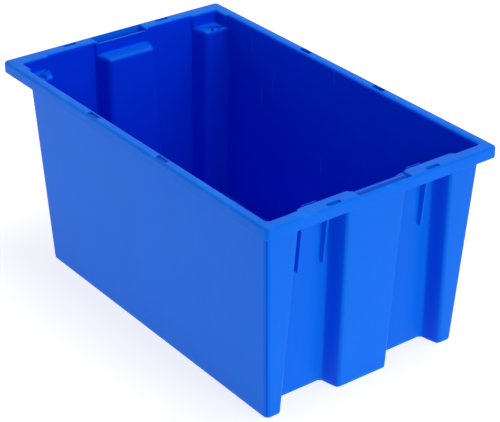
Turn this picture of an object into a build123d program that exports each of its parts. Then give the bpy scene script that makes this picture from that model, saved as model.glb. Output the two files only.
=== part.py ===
from build123d import *
import os
from math import radians, tan

# Stack-and-nest storage tote, an injection moulding in one piece, in millimetres.
# X runs along the length, Z is up, and the origin is on the ground under the middle.
# End B (+X) has three raised panels and two channels outside. End A (-X) has two raised
# panels, a channel in the middle and a recess at each corner, so that a tote turned end
# for end stands its raised panels on the ledges over the channels of the one below.
# The moulding is made once and then divided into its named areas, which meet face to face.

# Overall sizes
rim_length = 457.2
rim_width = 279.4
height = 223.5

# Walls
wall = 2.5
floor_thickness = 2.5
floor_edge_radius = 1.5
draft = tan(radians(3.05))
corner_radius = 5.5
fold_radius = 4.5

# Rim: a flat plate around the top, with a skirt hanging from its outer edge
rim_thickness = 2.5
end_overhang = 12.2
side_overhang = 8.8
rim_corner_radius = 5.5
rim_edge_radius = 1.8
skirt_height = 12.1
skirt_thickness = 2.2

# Channels in the ends, at the ground, and how their sides change with height
channel_depth = 21.5
web_lean = 6.5
b_centre_half_width = 30
b_corner_width = 17
a_centre_half_width = 38.5
a_corner_width = 33
centre_side_draft = tan(radians(1.4))
corner_side_draft = tan(radians(2.45))

# Stacking ledges over the channels, and the set-in walls above them
ledge_drop = 15
ledge_thickness = 2.5
ledge_wall_inset = 3
stop_height = 2.5
stop_thickness = 2.3
stop_length = 18.5
horn_radius = 5.5
horn_thickness = 2
horn_edge_distance = 14.5

# Gusset fins under the ledges
fin_length = 63
fin_top_depth = 7.5
fin_bottom_depth = 4.5
fin_thickness = 2.6
inner_fin_inset = 4.5
outer_fin_inset = 10.2
corner_fin_inset = 7.6
centre_fin_spacing = 30

# Openings in the rim
hand_hold_half_width = 32
side_slot_offset = 59.5
side_slot_length = 17
end_slot_offset = 60
end_slot_length = 15.5
slot_width = 5
slot_edge_distance = 2.7

# Where the moulding is divided
end_zone_length = 56.6
fold_margin = 4.7
rim_corner_length = 24

# Levels and half sizes that follow from these
rim_x = rim_length / 2
rim_y = rim_width / 2
rim_bottom = height - rim_thickness
skirt_bottom = height - skirt_height
ledge_top = height - ledge_drop
ledge_bottom = ledge_top - ledge_thickness
base_x = rim_x - end_overhang - draft * height
base_y = rim_y - side_overhang - draft * height


def face_x(z):
    """Outside of the raised end panels at height z."""
    return base_x + draft * z


def back_x(z):
    """Outside of the wall at the back of the channels at height z."""
    return face_x(z) - channel_depth


def set_in_x(z):
    """Outside of the end walls above the ledges at height z."""
    return face_x(z) - ledge_wall_inset


def side_y(z):
    """Outside of the long walls at height z."""
    return base_y + draft * z


def b_centre_y(z):
    """Edge of end B's centre panel at height z."""
    return b_centre_half_width + centre_side_draft * z


def b_corner_y(z):
    """Inner edge of end B's corner panels at height z."""
    return base_y - b_corner_width - corner_side_draft * z


def a_centre_y(z):
    """Edge of end A's raised panels beside the centre channel at height z."""
    return a_centre_half_width - centre_side_draft * z


def a_corner_y(z):
    """Edge of end A's raised panels beside the corner recess at height z."""
    return base_y - a_corner_width + corner_side_draft * z


def mirrored(points):
    """The points of one half of an end, and then the same points on the other side."""
    return points + [(x, -y) for x, y in reversed(points)]


def lower_outline(z):
    """Outside of the walls below the ledges, anticlockwise from the near corner of end B."""
    end_b = [
        (face_x(z), -side_y(z)),
        (face_x(z), -b_corner_y(z)),
        (back_x(z), web_lean - b_corner_y(z)),
        (back_x(z), -b_centre_y(z) - web_lean),
        (face_x(z), -b_centre_y(z)),
    ]
    end_a = [
        (-back_x(z), side_y(z)),
        (-back_x(z), a_corner_y(z) + web_lean),
        (-face_x(z), a_corner_y(z)),
        (-face_x(z), a_centre_y(z)),
        (-back_x(z), a_centre_y(z) - web_lean),
    ]
    return mirrored(end_b) + mirrored(end_a)


def upper_outline(z):
    """Outside of the walls above the ledges, where the walls over the channels are set in."""
    set_in_y = side_y(z) - ledge_wall_inset
    end_b = [
        (face_x(z), -side_y(z)),
        (face_x(z), -b_corner_y(ledge_bottom)),
        (set_in_x(z), -b_corner_y(ledge_bottom)),
        (set_in_x(z), -b_centre_y(ledge_bottom)),
        (face_x(z), -b_centre_y(ledge_bottom)),
    ]
    end_a = [
        (-back_x(ledge_top), side_y(z)),
        (-back_x(ledge_top), set_in_y),
        (-set_in_x(z), set_in_y),
        (-set_in_x(z), a_corner_y(ledge_bottom)),
        (-face_x(z), a_corner_y(ledge_bottom)),
        (-face_x(z), a_centre_y(ledge_bottom)),
        (-set_in_x(z), a_centre_y(ledge_bottom)),
    ]
    return mirrored(end_b) + mirrored(end_a)


def tapered(outline, z_low, z_high, corner_x, inset=0):
    """A solid between two levels of an outline, shrunk all round by inset.

    The outside corners, which lie beyond corner_x, are rounded, and so are the folds of the
    outline below the ledges.
    """
    with BuildPart() as solid:
        for z in (z_low, z_high):
            corner_y = side_y(z) - ledge_wall_inset - 1
            with BuildSketch(Plane.XY.offset(z)) as level:
                with BuildLine():
                    Polyline(*outline(z), close=True)
                make_face()
                if outline is lower_outline:
                    fillet(level.vertices().filter_by(lambda v: abs(v.Y) < corner_y), fold_radius)
                corners = level.vertices().filter_by(lambda v: abs(v.Y) > corner_y)
                fillet(corners.filter_by(lambda v: abs(v.X) > corner_x(z) - 1), corner_radius)
                if inset:
                    offset(amount=-inset)
        loft(ruled=True)
    return solid.part


lower_outside = tapered(lower_outline, 0, ledge_bottom, back_x)
lower_inside = tapered(lower_outline, floor_thickness, ledge_top, back_x, wall)
upper_outside = tapered(upper_outline, ledge_bottom, height, set_in_x)
upper_inside = tapered(upper_outline, ledge_top, height, set_in_x, wall)

with BuildPart() as moulding:
    add(lower_outside)
    add(upper_outside)
    with BuildSketch(Plane.XY.offset(skirt_bottom)):
        RectangleRounded(rim_length, rim_width, rim_corner_radius)
        offset(amount=-skirt_thickness, mode=Mode.SUBTRACT)
    extrude(amount=skirt_height)
    with BuildSketch(Plane.XY.offset(rim_bottom)):
        RectangleRounded(rim_length, rim_width, rim_corner_radius)
    extrude(amount=rim_thickness)
    outer_edges = moulding.edges().group_by(Axis.Z)[-1]
    fillet(outer_edges, rim_edge_radius)
    add(lower_inside, mode=Mode.SUBTRACT)
    add(upper_inside, mode=Mode.SUBTRACT)
    # Slots for the tabs of a lid
    with BuildSketch(Plane.XY.offset(height)):
        slot_y = rim_y - slot_edge_distance - slot_width / 2
        with GridLocations(2 * side_slot_offset, 2 * slot_y, 2, 2):
            Rectangle(side_slot_length, slot_width)
        slot_x = rim_x - slot_edge_distance - slot_width / 2
        with GridLocations(2 * slot_x, 2 * end_slot_offset, 2, 2):
            Rectangle(slot_width, end_slot_length)
    extrude(amount=-rim_thickness, mode=Mode.SUBTRACT)
    # Hand holds, where the rim plate is left out between the end wall and the skirt
    with BuildSketch(Plane.XY.offset(height)):
        Rectangle(rim_length - 2 * skirt_thickness, 2 * hand_hold_half_width)
    extrude(amount=-rim_thickness, mode=Mode.SUBTRACT)


def zone(x_range, y_range, z_range):
    """A box that holds one area of the moulding."""
    sizes = [high - low for low, high in (x_range, y_range, z_range)]
    middle = [(high + low) / 2 for low, high in (x_range, y_range, z_range)]
    return Pos(*middle) * Box(*sizes, mode=Mode.PRIVATE)


def finish(part, name):
    """Names an area and writes it out."""
    part.label = name
    export_step(part, f"parts/{name}.step")


def span(low, high, side):
    """A range of y on one side: low to high on the far side, and the mirror of it on the near."""
    return (low, high) if side > 0 else (-high, -low)


sides = {"near": -1, "far": 1}
wall_levels = (floor_thickness, rim_bottom)
lower_levels = (floor_thickness, ledge_bottom)
ledge_levels = (ledge_bottom, ledge_top)
over_ledge_levels = (ledge_bottom, rim_bottom)
end_cut = rim_x - end_zone_length
walls_x = rim_x - end_overhang
walls_y = rim_y - side_overhang
end_b_x = (end_cut, walls_x)
end_a_x = (-walls_x, -end_cut)

# Cuts in the flat of the channel backs, clear of the folds at every height
b_cut_inner = b_centre_y(ledge_bottom) + web_lean + fold_margin
b_cut_outer = b_corner_y(ledge_bottom) - web_lean - fold_margin
a_cut_inner = a_centre_y(ledge_bottom) - web_lean - fold_margin
a_cut_outer = a_corner_y(ledge_bottom) + web_lean + fold_margin

# Cuts above the channels, at the steps between the raised and the set-in walls
b_step_inner = b_centre_y(ledge_bottom)
b_step_outer = b_corner_y(ledge_bottom)
a_step_inner = a_centre_y(ledge_bottom)
a_step_outer = a_corner_y(ledge_bottom)
a_step_x = back_x(ledge_top)

# The ledges end at the feet of the walls that stand over them
clear_of_walls = extrude(upper_inside.faces().sort_by(Axis.Z)[0], ledge_thickness, (0, 0, -1))

# Stacking stops on the front edges of end B's ledges, each with the piece of ledge under it
ledge_front_x = back_x(ledge_top) - wall
stop_y = (b_step_inner + b_step_outer) / 2
stops = {}
for place, side in sides.items():
    with BuildPart() as stop:
        add(moulding.part)
        foot_x = (end_cut, ledge_front_x + stop_thickness)
        foot_y = span(stop_y - stop_length / 2, stop_y + stop_length / 2, side)
        add(zone(foot_x, foot_y, ledge_levels), mode=Mode.INTERSECT)
        with BuildSketch(Plane.XY.offset(ledge_top)):
            with Locations((ledge_front_x + stop_thickness / 2, side * stop_y)):
                Rectangle(stop_thickness, stop_length)
        extrude(amount=stop_height)
    stops[place] = stop.part
    finish(stop.part, f"end_b_stop_{place}")

# Horns on end A's corner ledges: half rings that open towards the inside of the tote, each
# with the piece of ledge under it
horn_x = ledge_front_x + horn_thickness / 2
horn_y = side_y(ledge_top) - wall - horn_edge_distance
horns = {}
for place, side in sides.items():
    with BuildPart() as horn:
        with BuildSketch(Plane.XY.offset(ledge_bottom)):
            with Locations((-horn_x, side * horn_y)):
                Circle(horn_radius)
                Circle(horn_radius - horn_thickness, mode=Mode.SUBTRACT)
                Rectangle(
                    2 * horn_radius, 2 * horn_radius, align=(Align.MIN, Align.CENTER), mode=Mode.SUBTRACT
                )
        extrude(amount=ledge_thickness + stop_height)
    horns[place] = horn.part
    finish(horn.part, f"end_a_horn_{place}")

# Floor
with BuildPart() as floor_panel:
    add(moulding.part)
    floor_zone = zone((-rim_x, rim_x), (-rim_y, rim_y), (0, floor_thickness))
    add(floor_zone, mode=Mode.INTERSECT)
    fillet(floor_panel.edges().group_by(Axis.Z)[0], floor_edge_radius)
finish(floor_panel.part, "floor_panel")

# Long walls
for place, side in sides.items():
    with BuildPart() as long_wall:
        add(moulding.part)
        add(zone((-end_cut, end_cut), span(0, walls_y, side), wall_levels), mode=Mode.INTERSECT)
    finish(long_wall.part, f"long_wall_{place}")

# End B: the centre panel, with the slanted sides of the channels next to it
with BuildPart() as b_centre_panel:
    add(moulding.part)
    below = zone(end_b_x, (-b_cut_inner, b_cut_inner), lower_levels)
    above = zone(end_b_x, (-b_step_inner, b_step_inner), over_ledge_levels)
    add(below + above, mode=Mode.INTERSECT)
finish(b_centre_panel.part, "end_b_centre_panel")

for place, side in sides.items():
    # The corner panel runs round the corner into the long wall
    with BuildPart() as b_corner_panel:
        add(moulding.part)
        below = zone(end_b_x, span(b_cut_outer, walls_y, side), lower_levels)
        above = zone(end_b_x, span(b_step_outer, walls_y, side), over_ledge_levels)
        add(below + above, mode=Mode.INTERSECT)
    finish(b_corner_panel.part, f"end_b_corner_panel_{place}")

    with BuildPart() as b_channel_back:
        add(moulding.part)
        add(zone(end_b_x, span(b_cut_inner, b_cut_outer, side), lower_levels), mode=Mode.INTERSECT)
    finish(b_channel_back.part, f"end_b_channel_back_{place}")

    with BuildPart() as b_ledge:
        add(moulding.part)
        add(zone(end_b_x, span(b_step_inner, b_step_outer, side), ledge_levels), mode=Mode.INTERSECT)
        add(clear_of_walls, mode=Mode.INTERSECT)
        add(stops[place], mode=Mode.SUBTRACT)
    finish(b_ledge.part, f"end_b_ledge_{place}")

    with BuildPart() as b_ledge_wall:
        add(moulding.part)
        set_in = zone(end_b_x, span(b_step_inner, b_step_outer, side), over_ledge_levels)
        add(set_in, mode=Mode.INTERSECT)
        add(clear_of_walls, mode=Mode.SUBTRACT)
    finish(b_ledge_wall.part, f"end_b_ledge_wall_{place}")

# End A: the centre channel
with BuildPart() as a_channel_back:
    add(moulding.part)
    add(zone(end_a_x, (-a_cut_inner, a_cut_inner), lower_levels), mode=Mode.INTERSECT)
finish(a_channel_back.part, "end_a_centre_channel_back")

with BuildPart() as a_centre_ledge:
    add(moulding.part)
    add(zone(end_a_x, (-a_step_inner, a_step_inner), ledge_levels), mode=Mode.INTERSECT)
    add(clear_of_walls, mode=Mode.INTERSECT)
finish(a_centre_ledge.part, "end_a_centre_ledge")

with BuildPart() as a_centre_ledge_wall:
    add(moulding.part)
    add(zone(end_a_x, (-a_step_inner, a_step_inner), over_ledge_levels), mode=Mode.INTERSECT)
    add(clear_of_walls, mode=Mode.SUBTRACT)
finish(a_centre_ledge_wall.part, "end_a_centre_ledge_wall")

for place, side in sides.items():
    with BuildPart() as a_raised_panel:
        add(moulding.part)
        below = zone(end_a_x, span(a_cut_inner, a_cut_outer, side), lower_levels)
        above = zone(end_a_x, span(a_step_inner, a_step_outer, side), over_ledge_levels)
        add(below + above, mode=Mode.INTERSECT)
    finish(a_raised_panel.part, f"end_a_raised_panel_{place}")

    # The corner recess runs round the corner into the long wall, which goes on up to the rim
    with BuildPart() as a_corner_recess:
        add(moulding.part)
        below = zone(end_a_x, span(a_cut_outer, walls_y, side), lower_levels)
        above = zone((wall - a_step_x, -end_cut), span(a_cut_outer, walls_y, side), over_ledge_levels)
        add(below + above, mode=Mode.INTERSECT)
    finish(a_corner_recess.part, f"end_a_corner_recess_{place}")

    corner_x = (-walls_x, wall - a_step_x)
    with BuildPart() as a_corner_ledge:
        add(moulding.part)
        add(zone(corner_x, span(a_step_outer, walls_y, side), ledge_levels), mode=Mode.INTERSECT)
        add(clear_of_walls, mode=Mode.INTERSECT)
        add(horns[place], mode=Mode.SUBTRACT)
    finish(a_corner_ledge.part, f"end_a_corner_ledge_{place}")

    with BuildPart() as a_corner_ledge_wall:
        add(moulding.part)
        set_in = zone(corner_x, span(a_step_outer, walls_y, side), over_ledge_levels)
        add(set_in, mode=Mode.INTERSECT)
        add(clear_of_walls, mode=Mode.SUBTRACT)
    finish(a_corner_ledge_wall.part, f"end_a_corner_ledge_wall_{place}")

# Rim plates along the long sides and on each side of the hand holds
plate_levels = (rim_bottom, height)
skirt_inner_x = rim_x - skirt_thickness
skirt_inner_y = rim_y - skirt_thickness
corner_cut_x = rim_x - rim_corner_length
corner_cut_y = rim_y - rim_corner_length
for place, side in sides.items():
    with BuildPart() as rim_side:
        add(moulding.part)
        plate_y = span(0, skirt_inner_y, side)
        add(zone((-corner_cut_x, corner_cut_x), plate_y, plate_levels), mode=Mode.INTERSECT)
    finish(rim_side.part, f"rim_side_{place}")

    for end, x_range in (("a", (-skirt_inner_x, -end_cut)), ("b", (end_cut, skirt_inner_x))):
        with BuildPart() as rim_end:
            add(moulding.part)
            add(zone(x_range, span(0, corner_cut_y, side), plate_levels), mode=Mode.INTERSECT)
        finish(rim_end.part, f"rim_end_{end}_{place}")

# Skirts, whose top is the outer edge of the rim
skirt_levels = (skirt_bottom, height)
for place, side in sides.items():
    with BuildPart() as skirt_side:
        add(moulding.part)
        skirt_y = span(skirt_inner_y, rim_y, side)
        add(zone((-corner_cut_x, corner_cut_x), skirt_y, skirt_levels), mode=Mode.INTERSECT)
    finish(skirt_side.part, f"skirt_side_{place}")

for end, side in (("a", -1), ("b", 1)):
    with BuildPart() as skirt_end:
        add(moulding.part)
        skirt_x = span(skirt_inner_x, rim_x, side)
        add(zone(skirt_x, (-corner_cut_y, corner_cut_y), skirt_levels), mode=Mode.INTERSECT)
    finish(skirt_end.part, f"skirt_end_{end}")

# Corners of the rim, each plate with its skirt
for place, y_side in sides.items():
    for end, x_side in (("a", -1), ("b", 1)):
        with BuildPart() as rim_corner:
            add(moulding.part)
            corner_plate = zone(
                span(corner_cut_x, rim_x, x_side), span(corner_cut_y, rim_y, y_side), plate_levels
            )
            long_skirt = zone(
                span(corner_cut_x, rim_x, x_side), span(skirt_inner_y, rim_y, y_side), skirt_levels
            )
            end_skirt = zone(
                span(skirt_inner_x, rim_x, x_side), span(corner_cut_y, rim_y, y_side), skirt_levels
            )
            round_skirt = zone(
                span(rim_x - rim_corner_radius, rim_x, x_side),
                span(rim_y - rim_corner_radius, rim_y, y_side),
                skirt_levels,
            )
            add(corner_plate + long_skirt + end_skirt + round_skirt, mode=Mode.INTERSECT)
        finish(rim_corner.part, f"rim_corner_{end}_{place}")


def gusset_fin(x_side, y):
    """A fin that stands on the outside of a channel back and runs up to the ledge over it."""
    foot = ledge_bottom - fin_length
    with BuildPart() as fin:
        with BuildSketch(Plane.XZ.offset(-y)):
            with BuildLine():
                Polyline(
                    (x_side * back_x(foot), foot),
                    (x_side * (back_x(foot) + fin_bottom_depth), foot),
                    (x_side * (back_x(ledge_bottom) + fin_top_depth), ledge_bottom),
                    (x_side * back_x(ledge_bottom), ledge_bottom),
                    close=True,
                )
            make_face()
        extrude(amount=fin_thickness / 2, both=True)
    return fin.part


# Gusset fins: two in each channel of end B, two in the centre channel of end A, and one in
# each of its corner recesses
b_back_inner = b_centre_y(ledge_bottom) + web_lean
b_back_outer = b_corner_y(ledge_bottom) - web_lean
a_back_outer = a_corner_y(ledge_bottom) + web_lean
for place, side in sides.items():
    b_inner_fin = gusset_fin(1, side * (b_back_inner + inner_fin_inset))
    finish(b_inner_fin, f"end_b_fin_inner_{place}")
    b_outer_fin = gusset_fin(1, side * (b_back_outer - outer_fin_inset))
    finish(b_outer_fin, f"end_b_fin_outer_{place}")
    a_centre_fin = gusset_fin(-1, side * centre_fin_spacing / 2)
    finish(a_centre_fin, f"end_a_fin_centre_{place}")
    a_corner_fin = gusset_fin(-1, side * (a_back_outer + corner_fin_inset))
    finish(a_corner_fin, f"end_a_fin_corner_{place}")
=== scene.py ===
"""The looks of a stack-and-nest storage tote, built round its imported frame.

The tote is one moulding of polyethylene. Its cavity side is lofted as one open sheet from rounded
outlines, the sheet gets the wall thickness on its other side, the slots and hand holds are cut,
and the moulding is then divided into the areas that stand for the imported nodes.
All shapes are worked out in millimetres and scaled to metres as each piece is finished.
"""

import logging
import math
from dataclasses import dataclass, field, replace
from enum import Enum
from typing import Any, Dict, Iterable, List, Optional, Sequence, Tuple, Union

import bmesh
import bpy
from mathutils import Matrix, Vector


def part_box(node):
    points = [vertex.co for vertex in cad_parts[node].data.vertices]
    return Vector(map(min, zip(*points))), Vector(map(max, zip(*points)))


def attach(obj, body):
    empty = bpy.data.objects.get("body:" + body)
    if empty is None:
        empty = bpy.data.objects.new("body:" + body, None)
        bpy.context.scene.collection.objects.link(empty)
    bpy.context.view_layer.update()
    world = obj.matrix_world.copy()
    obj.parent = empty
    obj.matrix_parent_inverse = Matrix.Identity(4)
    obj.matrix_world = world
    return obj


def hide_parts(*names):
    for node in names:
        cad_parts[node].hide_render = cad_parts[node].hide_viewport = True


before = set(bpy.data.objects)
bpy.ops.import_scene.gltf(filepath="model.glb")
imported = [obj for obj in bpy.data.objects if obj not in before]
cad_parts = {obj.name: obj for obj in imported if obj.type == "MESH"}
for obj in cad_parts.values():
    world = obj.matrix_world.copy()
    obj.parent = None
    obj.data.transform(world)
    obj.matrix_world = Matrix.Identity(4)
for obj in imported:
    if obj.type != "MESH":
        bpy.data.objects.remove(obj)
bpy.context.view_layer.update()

log = logging.getLogger("tote")

MM = 0.001
MERGE = 0.01
AT_TOP = 0.1
PLANE_MERGE = 1e-4
NOISE_ROUGHNESS = 0.55
SHARP_ANGLE = math.radians(38)

BMesh = bmesh.types.BMesh
BMEdge = bmesh.types.BMEdge
BMFace = bmesh.types.BMFace
BMVert = bmesh.types.BMVert
Point = Tuple[float, float, float]
Colour = Tuple[float, float, float, float]
Span = Tuple[float, float]
Area = Tuple[str, Span, Span, List[str]]


class Side(Enum):
    """The two halves of the tote, on each side of its length."""

    NEAR = -1
    FAR = 1


class End(Enum):
    """The two ends of the tote."""

    A = -1
    B = 1


# ---------------------------------------------------------------------------------------------
# Mesh helpers


def quarter(steps: int) -> List[float]:
    """The angles that divide a quarter turn.

    Args:
        steps: How many equal parts the quarter has.

    Returns:
        The angles from 0 to a quarter turn, both included.
    """
    return [math.pi / 2 * step / steps for step in range(steps + 1)]


def stored(bm: BMesh, name: str) -> bpy.types.Mesh:
    """Mesh data made of a mesh that is worked on, which is freed."""
    mesh = bpy.data.meshes.new(name)
    bm.to_mesh(mesh)
    bm.free()
    return mesh


def load_into(bm: BMesh, mesh: bpy.types.Mesh) -> BMesh:
    """Adds mesh data to a mesh that is worked on, and removes the data."""
    bm.from_mesh(mesh)
    bpy.data.meshes.remove(mesh)
    return bm


def placed(name: str, data: bpy.types.ID) -> bpy.types.Object:
    """A new object in the scene."""
    thing = bpy.data.objects.new(name, data)
    bpy.context.scene.collection.objects.link(thing)
    return thing


def of_kind(items: Iterable[Any], kind: type) -> List[Any]:
    """The items of one kind, such as the corners among all that an operator made."""
    return [item for item in items if isinstance(item, kind)]


def boundary(bm: BMesh, low: float = -math.inf, high: float = math.inf) -> List[BMEdge]:
    """The open edges of a mesh between two heights.

    Args:
        bm: The mesh.
        low: The lowest height.
        high: The highest height.

    Returns:
        Its edges that have one face.
    """
    return [
        edge
        for edge in bm.edges
        if len(edge.link_faces) == 1 and all(low < vert.co.z < high for vert in edge.verts)
    ]


def box_mesh(low: Sequence[float], high: Sequence[float]) -> BMesh:
    """A closed box between two corners.

    Args:
        low: Its lowest corner.
        high: Its highest corner.

    Returns:
        The box as a new mesh.
    """
    bm = bmesh.new()
    bmesh.ops.create_cube(bm, size=1)
    sizes = [top - bottom for bottom, top in zip(low, high)]
    bmesh.ops.scale(bm, vec=sizes, verts=bm.verts)
    middle = [(top + bottom) / 2 for bottom, top in zip(low, high)]
    bmesh.ops.translate(bm, vec=middle, verts=bm.verts)
    return bm


def soften(
    bm: BMesh,
    geometry: Iterable[Any],
    size: float,
    steps: int = 3,
    affect: str = "EDGES",
    clamp: bool = True,
) -> None:
    """Rounds edges of a mesh, or the corners of a flat face.

    Args:
        bm: The mesh.
        geometry: The edges or the corners to round.
        size: How far the rounding reaches to each side.
        steps: How many faces or edges go round it.
        affect: "EDGES" to round edges, "VERTICES" to round the corners of a flat face.
        clamp: Whether the rounding shrinks where it would run into itself.
    """
    bmesh.ops.bevel(
        bm,
        geom=list(geometry),
        offset=size,
        offset_type="OFFSET",
        segments=steps,
        profile=0.5,
        affect=affect,
        clamp_overlap=clamp,
        material=-1,
    )


def close_cut(bm: BMesh, ring: bool = False) -> None:
    """Closes the open edges that a plane has left.

    Args:
        bm: The mesh.
        ring: Whether the plane went through the whole ring of walls, which leaves two loops with
            the wall between them. Any other cut leaves plain loops, and each gets one face.
    """
    if ring:
        bmesh.ops.bridge_loops(bm, edges=boundary(bm))
    else:
        bmesh.ops.holes_fill(bm, edges=boundary(bm), sides=0)


def cut_away(bm: BMesh, point: Sequence[float], normal: Sequence[float], ring: bool) -> None:
    """Cuts a closed mesh with a plane, drops what lies beyond it and closes the cut.

    Args:
        bm: The mesh.
        point: A point on the plane.
        normal: The direction of the part that goes.
        ring: Whether the plane goes through the whole ring of walls.
    """
    geometry = bm.verts[:] + bm.edges[:] + bm.faces[:]
    bmesh.ops.bisect_plane(
        bm, geom=geometry, dist=PLANE_MERGE, plane_co=point, plane_no=normal, clear_outer=True
    )
    close_cut(bm, ring)


def evaluated(bm: BMesh, modifiers: Sequence[Tuple[str, Dict[str, Any]]]) -> bpy.types.Mesh:
    """Runs modifiers on a mesh.

    Args:
        bm: The mesh, which is freed.
        modifiers: The kind and the settings of each modifier, in order.

    Returns:
        The mesh that comes out of them.
    """
    mesh = stored(bm, "work")
    holder = placed("work", mesh)
    for kind, settings in modifiers:
        modifier = holder.modifiers.new(kind.lower(), kind)
        for name, value in settings.items():
            setattr(modifier, name, value)
    graph = bpy.context.evaluated_depsgraph_get()
    result = bpy.data.meshes.new_from_object(
        holder.evaluated_get(graph), preserve_all_data_layers=True, depsgraph=graph
    )
    bpy.data.objects.remove(holder)
    bpy.data.meshes.remove(mesh)
    return result


# ---------------------------------------------------------------------------------------------
# Outlines and lofts


@dataclass(frozen=True)
class Corner:
    """A corner of an outline seen from above, with its rounding.

    Attributes:
        x: Its place along the tote.
        y: Its place across the tote.
        radius: The radius of its rounding, 0 for a plain point.
        steps: How many edges go round it.
        roll_x: How far it moves along the tote as the front edge of a ledge rolls over by 1.
        roll_y: How far it moves across the tote as that edge rolls over by 1.
    """

    x: float
    y: float
    radius: float = 0.0
    steps: int = 0
    roll_x: float = 0.0
    roll_y: float = 0.0

    def mirrored(self) -> "Corner":
        """The same corner on the other side."""
        return replace(self, y=-self.y, roll_y=-self.roll_y)

    def rolled(self, amount: float) -> "Corner":
        """The corner once the ledge's edge has rolled over by an amount."""
        return replace(self, x=self.x + amount * self.roll_x, y=self.y + amount * self.roll_y)


@dataclass(frozen=True)
class Section:
    """An outline at one height."""

    corners: Sequence[Corner]
    z: float


def whole_outline(half_b: List[Corner], half_a: List[Corner]) -> List[Corner]:
    """A closed outline from the far halves of its two ends.

    Args:
        half_b: End B from the far corner to the middle.
        half_a: End A from the far corner to the middle.

    Returns:
        The corners in order round the tote.
    """
    near_b = [corner.mirrored() for corner in half_b]
    near_a = [corner.mirrored() for corner in reversed(half_a)]
    return near_b + half_b[::-1] + half_a + near_a


def rounded_outline(bm: BMesh, section: Section) -> None:
    """Adds an outline to a mesh as one flat face with rounded corners.

    Args:
        bm: The mesh.
        section: The outline and its height.
    """
    corners = section.corners
    verts = [bm.verts.new((corner.x, corner.y, section.z)) for corner in corners]
    bm.faces.new(verts)
    places = [vert.co.copy() for vert in verts]
    for index, (vert, corner) in enumerate(zip(verts, corners)):
        if corner.radius <= 0:
            continue
        arriving = places[index] - places[index - 1]
        leaving = places[(index + 1) % len(places)] - places[index]
        tangent = corner.radius * math.tan(arriving.angle(leaving) / 2)
        soften(bm, [vert], tangent, corner.steps, "VERTICES", clamp=False)


def loft(sections: Sequence[Section]) -> BMesh:
    """An open tube through outlines with the same corners.

    Args:
        sections: The outlines, each at a height of its own, in order.

    Returns:
        The tube as a new mesh.
    """
    bm = bmesh.new()
    for section in sections:
        rounded_outline(bm, section)
    heights = sorted({section.z for section in sections})
    faces = sorted(bm.faces, key=lambda face: face.verts[0].co.z)
    loops = [list(face.edges) for face in faces]
    if len(loops) != len(heights):
        raise ValueError("an outline of the loft was lost")
    bmesh.ops.delete(bm, geom=faces, context="FACES_ONLY")
    for lower, upper in zip(loops, loops[1:]):
        bmesh.ops.bridge_loops(bm, edges=lower + upper)
    return bm


# ---------------------------------------------------------------------------------------------
# The moulding


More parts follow.
